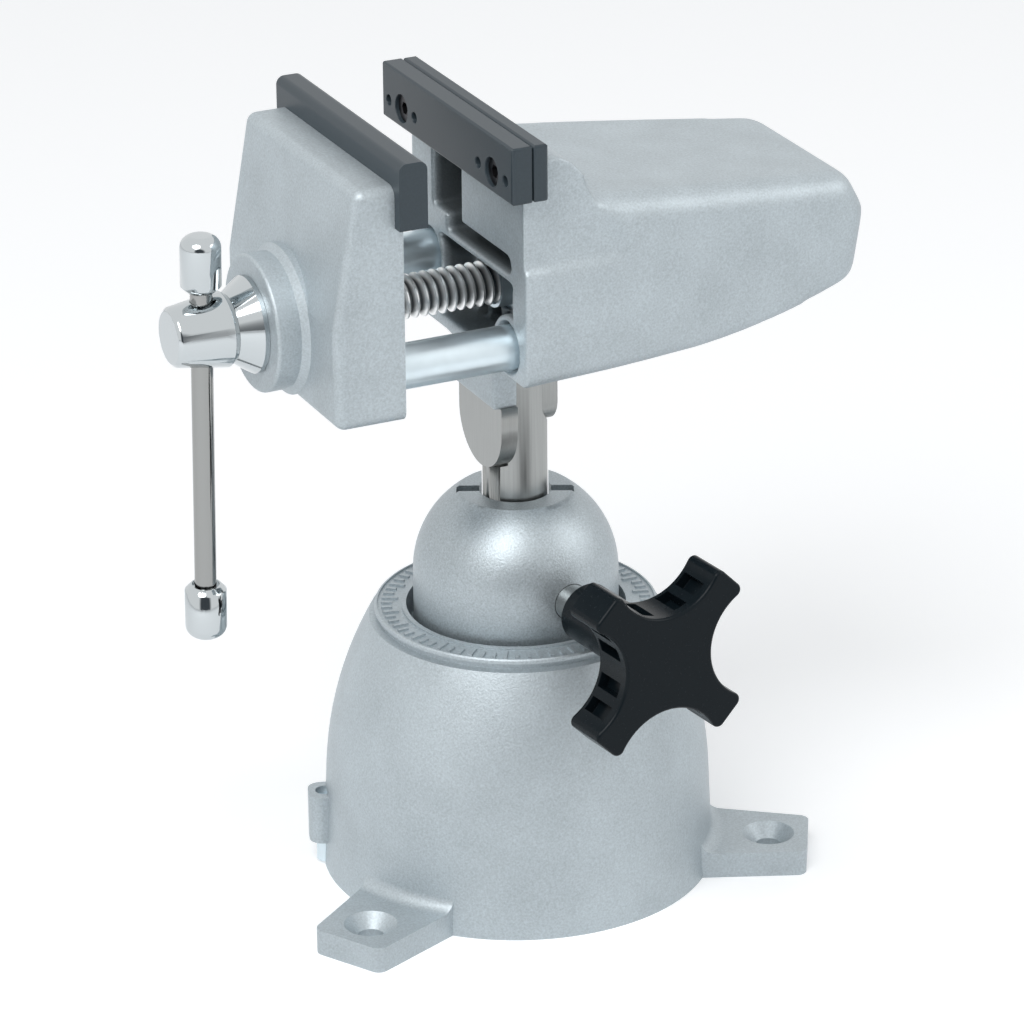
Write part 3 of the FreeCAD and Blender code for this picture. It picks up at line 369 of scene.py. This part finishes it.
def dome_silver(settings):
    finish = new_finish("satin cast dome")
    fleck = finish.noise(settings.grain_size * 0.9, detail=3.0, roughness=0.6)
    tone = finish.mix(fleck, rgba(settings.silver, 0.48), rgba(settings.silver, 1.36))
    finish.set(Base_Color=tone, Metallic=0.75, Roughness=0.36 + fleck * 0.12,
               Normal=finish.bump(fleck, settings.grain_depth))
    return finish.owner


def drawn_steel(settings, along):
    """Steel with fine lines along one axis."""
    finish = new_finish("drawn steel along " + along)
    stretch = [LINES_ALONG if axis == along else LINES_ACROSS for axis in "XYZ"]
    place = finish.node("ShaderNodeMapping", {}, Vector=finish.place(), Scale=stretch)
    lines = finish.node("ShaderNodeTexNoise", {}, Vector=place, Scale=1.0, Detail=2.0)
    tone = finish.mix(lines, rgba(settings.steel, 0.82), rgba(settings.steel, 1.12))
    finish.set(Base_Color=tone, Metallic=1.0, Roughness=0.30 + lines * 0.12,
               Normal=finish.bump(lines, 0.00001))
    return finish.owner


def bright_zinc(settings):
    finish = new_finish("bright zinc")
    cloud = finish.noise(0.003, detail=1.0)
    tone = finish.mix(cloud, rgba(settings.zinc, 0.93), rgba(settings.zinc, 1.07))
    finish.set(Base_Color=tone, Metallic=0.85, Roughness=0.30 + cloud * 0.05)
    return finish.owner


def thread_steel(settings):
    """Bright steel with a painted highlight on the crests, painted shade in the grooves."""
    finish = new_finish("bright thread")
    _, y, z = finish.axes()
    rise = z - SCREW_Z
    radius = y.math("SQRT", y * y + rise * rise)
    root = SCREW_CREST_R - settings.thread_depth
    # share from the grooves' painted shade up to the crests' steel with its painted highlight
    crest = finish.share(radius, root, root + settings.thread_depth * 0.75)
    finish.set(Base_Color=finish.mix(crest, rgba(PAINTED_GROOVE_SHADE), rgba(CREST_STEEL_AND_HIGHLIGHT)),
               Metallic=0.8, Roughness=0.45 - crest * 0.17)
    return finish.owner


def polished_steel():
    finish = new_finish("polished steel")
    haze = finish.noise(0.004, detail=1.0)
    finish.set(Base_Color=rgba(HANDLE_STEEL), Metallic=1.0, Roughness=0.10 + haze * 0.05)
    return finish.owner


def chrome():
    finish = new_finish("chrome")
    haze = finish.noise(0.006, detail=1.0)
    finish.set(Base_Color=rgba(CHROME), Metallic=1.0, Roughness=0.04 + haze * 0.04)
    return finish.owner


def black_plate(settings):
    finish = new_finish("black plate")
    grain = finish.noise(0.0004, detail=2.0)
    tone = finish.mix(grain, rgba(settings.plates, 0.85), rgba(settings.plates, 1.15))
    finish.set(Base_Color=tone, Roughness=0.34 + grain * 0.10, Specular_IOR_Level=0.4,
               Normal=finish.bump(grain, 0.00001))
    return finish.owner


def knob_black(settings):
    finish = new_finish("moulded black")
    grain = finish.noise(0.0006, detail=2.0)
    finish.set(Base_Color=rgba(settings.knob), Roughness=0.22 + grain * 0.08,
               Specular_IOR_Level=0.12, Normal=finish.bump(grain, 0.000006))
    return finish.owner


def plain_finish(name, colour, metallic, rough):
    finish = new_finish(name)
    grain = finish.noise(0.001)
    tone = finish.mix(grain, rgba(colour, 0.88), rgba(colour, 1.12))
    finish.set(Base_Color=tone, Metallic=metallic, Roughness=rough + grain * 0.08)
    return finish.owner


# Mesh helpers

def smooth_by_angle(mesh, degrees):
    mesh.polygons.foreach_set("use_smooth", [True] * len(mesh.polygons))
    mesh.set_sharp_from_angle(angle=math.radians(degrees))


def merged_copy(node):
    """A bmesh of a CAD node with its loose triangles joined into whole faces."""
    bm = bmesh.new()
    bm.from_mesh(frame["nodes"][node].data)
    bmesh.ops.remove_doubles(bm, verts=bm.verts, dist=SAME_POINT)
    bmesh.ops.dissolve_limit(bm, angle_limit=math.radians(FLAT_ANGLE), verts=bm.verts,
                             edges=bm.edges, use_dissolve_boundaries=False)
    return bm


def add_piece(bm, name, body, material, degrees=SHADE_ANGLE):
    """A finished piece of the scene from its bmesh."""
    mesh = bpy.data.meshes.new(name)
    bm.to_mesh(mesh)
    bm.free()
    mesh.materials.append(material)
    smooth_by_angle(mesh, degrees)
    piece = bpy.data.objects.new(name, mesh)
    bpy.context.scene.collection.objects.link(piece)
    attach(piece, body)
    return piece


def dressed_copy(node, material):
    """A piece that stands for a CAD node, with its shape and a smooth skin."""
    piece = add_piece(merged_copy(node), node + "_finished", BODY_OF[node], material)
    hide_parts(node)
    return piece


def even_faces(bm, size):
    """The same shape in small even faces, so that parts of it can be softened."""
    mesh = bpy.data.meshes.new("coarse skin")
    bm.to_mesh(mesh)
    bm.free()
    carrier = bpy.data.objects.new("coarse skin", mesh)
    bpy.context.scene.collection.objects.link(carrier)
    remesh = carrier.modifiers.new("even faces", "REMESH")
    remesh.mode = "VOXEL"
    remesh.voxel_size = size
    graph = bpy.context.evaluated_depsgraph_get()
    shape = bpy.data.meshes.new_from_object(carrier.evaluated_get(graph))
    fresh = bmesh.new()
    fresh.from_mesh(shape)
    bpy.data.objects.remove(carrier)
    bpy.data.meshes.remove(mesh)
    bpy.data.meshes.remove(shape)
    return fresh


def soften(bm, passes, inside=None):
    """Rounds what lies inside a region, as a pattern's fillets do."""
    verts = [vert for vert in bm.verts if inside is None or inside(vert.co)]
    for _ in range(passes):
        bmesh.ops.smooth_vert(bm, verts=verts, factor=0.5, use_axis_x=True,
                              use_axis_y=True, use_axis_z=True)


def round_edges(piece, radius):
    """Small radii on a piece's sharp edges, with its large faces left flat in the light."""
    bevel = piece.modifiers.new("small edges", "BEVEL")
    bevel.width = radius
    bevel.segments = EDGE_SEGMENTS
    bevel.limit_method = "ANGLE"
    bevel.angle_limit = math.radians(EDGE_ANGLE)
    bevel.use_clamp_overlap = True
    flat = piece.modifiers.new("flat large faces", "WEIGHTED_NORMAL")
    flat.mode = "FACE_AREA"
    flat.weight = 100
    flat.keep_sharp = True


def inner_material(node, material):
    """A node inside the vise keeps its own mesh."""
    slots = frame["nodes"][node].data.materials
    slots.clear()
    slots.append(material)


# Operators, one for each piece or group of like pieces

class VISE_OT_castings(bpy.types.Operator):
    """Gives the four castings their silver skin and their rounded edges"""
    bl_idname = "vise.castings"
    bl_label = "Castings"

    def execute(self, context):
        settings = context.scene.vise_castings
        silver = cast_silver(settings)
        satin = dome_silver(settings)
        for node in ("base_casting", "moving_jaw"):
            round_edges(dressed_copy(node, silver), settings.edge_round)
        round_edges(dressed_copy("turret_dome", satin), settings.edge_round)
        body = even_faces(merged_copy("body_casting"), settings.body_face)
        soften(body, SKIN_PASSES)
        soften(body, FLANK_PASSES, on_shoulder_flank)
        soften(body, REAR_PASSES, on_rear_end)
        skin = add_piece(body, "body_casting_finished", "head", silver_with_painted_core_shade(settings),
                         NEVER_BREAKS)
        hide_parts("body_casting")
        return {"FINISHED"}


def on_shoulder_flank(point):
    """Where the shoulder behind the jaw plates runs out into the body's sides and top."""
    return (FLANK_X[0] < point.x < FLANK_X[1] and FLANK_Z[0] < point.z < FLANK_Z[1]
            and abs(point.y) > FLANK_Y)


def on_rear_end(point):
    return point.x > REAR_END_X


class VISE_OT_ring_marks(bpy.types.Operator):
    """Raises plain marks round the band on the base's ring"""
    bl_idname = "vise.ring_marks"
    bl_label = "Ring marks"

    def execute(self, context):
        settings = context.scene.vise_castings
        bm = bmesh.new()
        for index in range(settings.ring_marks):
            turn = math.tau * index / settings.ring_marks
            add_ring_mark(bm, turn, index % LONG_MARK_EVERY == 0)
        bmesh.ops.recalc_face_normals(bm, faces=bm.faces)
        add_piece(bm, "ring_marks", "base", cast_silver(settings))
        return {"FINISHED"}


def add_ring_mark(bm, turn, is_long):
    """One raised bar that points at the ring's axis."""
    inner = RING_MARK_IN_R if is_long else RING_MARK_IN_R + RING_MARK_SHORTER
    middle = Vector(((inner + RING_MARK_OUT_R) / 2, 0, RING_FLOOR_Z + RING_MARK_HIGH / 2))
    shape = Matrix.Diagonal((RING_MARK_OUT_R - inner, RING_MARK_WIDTH, RING_MARK_HIGH, 1))
    matrix = Matrix.Rotation(turn, 4, "Z") @ Matrix.Translation(middle) @ shape
    bar = bmesh.ops.create_cube(bm, size=1.0, matrix=matrix)
    top = [vert for vert in bar["verts"] if vert.co.z > middle.z]
    centre = matrix @ Vector((0, 0, 0.5))
    bmesh.ops.scale(bm, verts=top, vec=(RING_MARK_TAPER, RING_MARK_TAPER, 1),
                    space=Matrix.Translation(-centre))


class VISE_OT_lead_screw(bpy.types.Operator):
    """Cuts the lead screw's thread and keeps its turned head"""
    bl_idname = "vise.lead_screw"
    bl_label = "Lead screw"

    def execute(self, context):
        settings = context.scene.vise_steel
        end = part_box("lead_screw")[1].x
        thread = thread_mesh(settings.pitch, settings.thread_depth, THREAD_START_X, end)
        screw = add_piece(thread, "lead_screw_thread", "jaw_screw", thread_steel(settings),
                          THREAD_SHADE_ANGLE)
        bar = merged_copy("lead_screw")
        cut_away(bar, HEAD_BACK_X + HEAD_LAP, -1)
        cut_away(bar, THREAD_START_X + THREAD_LAP, 1)
        shank = add_piece(bar, "lead_screw_shank", "jaw_screw", bright_zinc(settings))
        head = merged_copy("lead_screw")
        cut_away(head, HEAD_BACK_X + HEAD_LAP, 1)
        turned_head = add_piece(head, "lead_screw_head", "jaw_screw", chrome(),
                                HEAD_SHADE_ANGLE)
        round_edges(turned_head, HEAD_EDGE)
        for piece in (screw, shank, turned_head):
            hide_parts("lead_screw")
        return {"FINISHED"}


def cut_away(bm, at, way):
    """Takes off what lies beyond a plane across X, on the side that way points to."""
    cut = bmesh.ops.bisect_plane(bm, geom=bm.verts[:] + bm.edges[:] + bm.faces[:],
                                 plane_co=(at, 0, 0), plane_no=(way, 0, 0),
                                 clear_outer=True)
    rim = [e for e in cut["geom_cut"] if isinstance(e, bmesh.types.BMEdge)]
    bmesh.ops.holes_fill(bm, edges=rim)


def thread_mesh(pitch, depth, start, end):
    """A helical thread between two planes across X."""
    bm = bmesh.new()
    root = SCREW_CREST_R - depth
    turns = math.ceil((end - start) / pitch) + 2
    verts = [bm.verts.new((start + (share - 1.5) * pitch, 0, SCREW_Z + root + rise * depth))
             for share, rise in THREAD_PROFILE]
    edges = [bm.edges.new(pair) for pair in zip(verts, verts[1:])]
    bmesh.ops.spin(bm, geom=verts + edges, cent=(0, 0, SCREW_Z), axis=(1, 0, 0),
                   dvec=(pitch / THREAD_STEPS, 0, 0), angle=math.tau * turns,
                   steps=THREAD_STEPS * turns)
    bmesh.ops.remove_doubles(bm, verts=bm.verts, dist=THREAD_SAME_POINT)
    cut_away(bm, start, -1)
    cut_away(bm, end - THREAD_SHORT, 1)
    bmesh.ops.recalc_face_normals(bm, faces=bm.faces)
    return bm


class VISE_OT_steel(bpy.types.Operator):
    """Gives the post, cheeks, rods, screws and handle their metals"""
    bl_idname = "vise.steel"
    bl_label = "Steel pieces"

    def execute(self, context):
        settings = context.scene.vise_steel
        upright = drawn_steel(settings, "Z")
        zinc = bright_zinc(settings)
        mirror = chrome()
        for node in ("post", "front_cheek", "rear_cheek"):
            dressed_copy(node, upright)
        polished = polished_steel()
        for node in ("handle_rod", "knob_stud"):
            dressed_copy(node, polished)
        for node in ("cross_pin", "post_retaining_ring", "clamp_shoe", "ball_half_left",
                     "ball_half_right"):
            inner_material(node, upright)
        for node in ("guide_rod_near", "guide_rod_far", "lock_screw"):
            dressed_copy(node, zinc)
        dressed_copy("lead_nut", zinc)
        for node in ("rod_pins", "retaining_disc", "disc_screws", "ring_nut",
                     "screw_collar"):
            inner_material(node, zinc)
        for node in ("thrust_cone", "handle_cap_top", "handle_cap_bottom"):
            dressed_copy(node, mirror)
        return {"FINISHED"}


class VISE_OT_black_pieces(bpy.types.Operator):
    """Gives the jaw plates, the pad, their screws and the knob their blacks"""
    bl_idname = "vise.black_pieces"
    bl_label = "Black pieces"

    def execute(self, context):
        settings = context.scene.vise_black
        plate = black_plate(settings)
        for node in ("fixed_jaw_backing", "fixed_jaw_plate", "moving_jaw_pad"):
            round_edges(dressed_copy(node, plate), settings.plate_edge)
        screw = plain_finish("blackened screw", BLACK_SCREW, 1.0, 0.35)
        for node in ("fixed_jaw_screws", "pad_screws"):
            dressed_copy(node, screw)
        round_edges(dressed_copy("knob_star", knob_black(settings)), settings.plate_edge)
        washer = plain_finish("washer plastic", WASHER_WHITE, 0.0, 0.5)
        for node in ("friction_washer", "ball_seat"):
            inner_material(node, washer)
        return {"FINISHED"}


class VISE_OT_stage(bpy.types.Operator):
    """Sets the floor, the soft lamps, the pale surroundings and the camera"""
    bl_idname = "vise.stage"
    bl_label = "Stage"

    def execute(self, context):
        settings = context.scene.vise_stage
        build_floor(settings)
        build_world(context.scene, settings)
        build_lamp("key lamp", *KEY_LAMP, settings.lamp_power)
        build_lamp("fill lamp", *FILL_LAMP, settings.lamp_power * FILL_SHARE)
        build_camera(context.scene, settings.lens)
        context.scene.view_settings.view_transform = "Standard"
        return {"FINISHED"}


def seen_directly(finish):
    """One where a ray comes from the camera, a mirror or glass, and zero elsewhere."""
    seen = finish.node("ShaderNodeLightPath", {}, output="Is Camera Ray")
    rays = seen.socket.node.outputs
    for name in ("Is Glossy Ray", "Is Transmission Ray"):
        seen = seen.math("MAXIMUM", seen, Wire(finish, rays[name]))
    return seen


def build_floor(settings):
    bm = bmesh.new()
    bmesh.ops.create_grid(bm, x_segments=1, y_segments=1, size=FLOOR_REACH)
    mesh = bpy.data.meshes.new("floor")
    bm.to_mesh(mesh)
    bm.free()
    floor = bpy.data.objects.new("floor", mesh)
    bpy.context.scene.collection.objects.link(floor)
    finish = new_finish("pale floor")
    glow = finish.mix(seen_directly(finish), rgba((0, 0, 0)), rgba((1, 1, 1), settings.floor_glow))
    finish.set(Base_Color=rgba(FLOOR_COLOUR), Roughness=0.9, Emission_Color=glow,
               Emission_Strength=1.0)
    mesh.materials.append(finish.owner)


def build_world(scene, settings):
    """Soft light from all round, and for mirrors a pale studio with one dark side."""
    world = bpy.data.worlds.new("pale studio")
    finish = Finish(world, "Background")
    way = finish.node("ShaderNodeTexCoord", {}, output="Generated")
    facing = finish.node("ShaderNodeVectorMath", {"operation": "DOT_PRODUCT"}, way,
                         ROOM_SIDE, output="Value")
    walls = finish.node("ShaderNodeValToRGB", {"stops": ROOM_STOPS}, facing)
    light = finish.mix(seen_directly(finish), rgba(SKY_COLOUR, settings.sky), walls)
    finish.set(Color=light, Strength=1.0)
    scene.world = world


def build_lamp(name, place, size, power):
    lamp = bpy.data.lights.new(name, "AREA")
    lamp.shape = "DISK"
    lamp.size = size
    lamp.energy = power
    obj = bpy.data.objects.new(name, lamp)
    bpy.context.scene.collection.objects.link(obj)
    obj.location = place
    aim = Vector(LAMP_AIM) - Vector(place)
    obj.rotation_euler = aim.to_track_quat("-Z", "Y").to_euler()


def build_camera(scene, lens):
    camera = bpy.data.cameras.new("photo camera")
    camera.lens = lens
    camera.sensor_width = SENSOR_WIDTH
    camera.clip_end = VIEW_DEPTH
    obj = bpy.data.objects.new("photo camera", camera)
    scene.collection.objects.link(obj)
    aim = Vector(CAMERA_TARGET) - Vector(CAMERA_EYE)
    turn = aim.to_track_quat("-Z", "Y").to_matrix() @ Matrix.Rotation(CAMERA_ROLL, 3, "Z")
    obj.matrix_world = Matrix.Translation(CAMERA_EYE) @ turn.to_4x4()
    scene.camera = obj


class VISE_PT_panel(bpy.types.Panel):
    """Lists the vise's settings and the steps that dress it"""
    bl_idname = "VISE_PT_panel"
    bl_label = "Vise"
    bl_space_type = "VIEW_3D"
    bl_region_type = "UI"
    bl_category = "Vise"

    def draw(self, context):
        for name in SETTINGS:
            group = getattr(context.scene, name)
            for prop in group.bl_rna.properties:
                if prop.identifier not in ("rna_type", "name"):
                    self.layout.prop(group, prop.identifier)
        for operator in OPERATORS:
            self.layout.operator(operator.bl_idname)


OPERATORS = (
    VISE_OT_castings,
    VISE_OT_ring_marks,
    VISE_OT_lead_screw,
    VISE_OT_steel,
    VISE_OT_black_pieces,
    VISE_OT_stage,
)


def register():
    for name, group in SETTINGS.items():
        bpy.utils.register_class(group)
        setattr(bpy.types.Scene, name, bpy.props.PointerProperty(type=group))
    for cls in (*OPERATORS, VISE_PT_panel):
        bpy.utils.register_class(cls)


def unregister():
    for cls in reversed((*OPERATORS, VISE_PT_panel)):
        bpy.utils.unregister_class(cls)
    for name, group in SETTINGS.items():
        delattr(bpy.types.Scene, name)
        bpy.utils.unregister_class(group)


def main():
    register()
    bpy.ops.vise.castings()
    bpy.ops.vise.ring_marks()
    bpy.ops.vise.lead_screw()
    bpy.ops.vise.steel()
    bpy.ops.vise.black_pieces()
    bpy.ops.vise.stage()


if __name__ == "__main__":
    main()
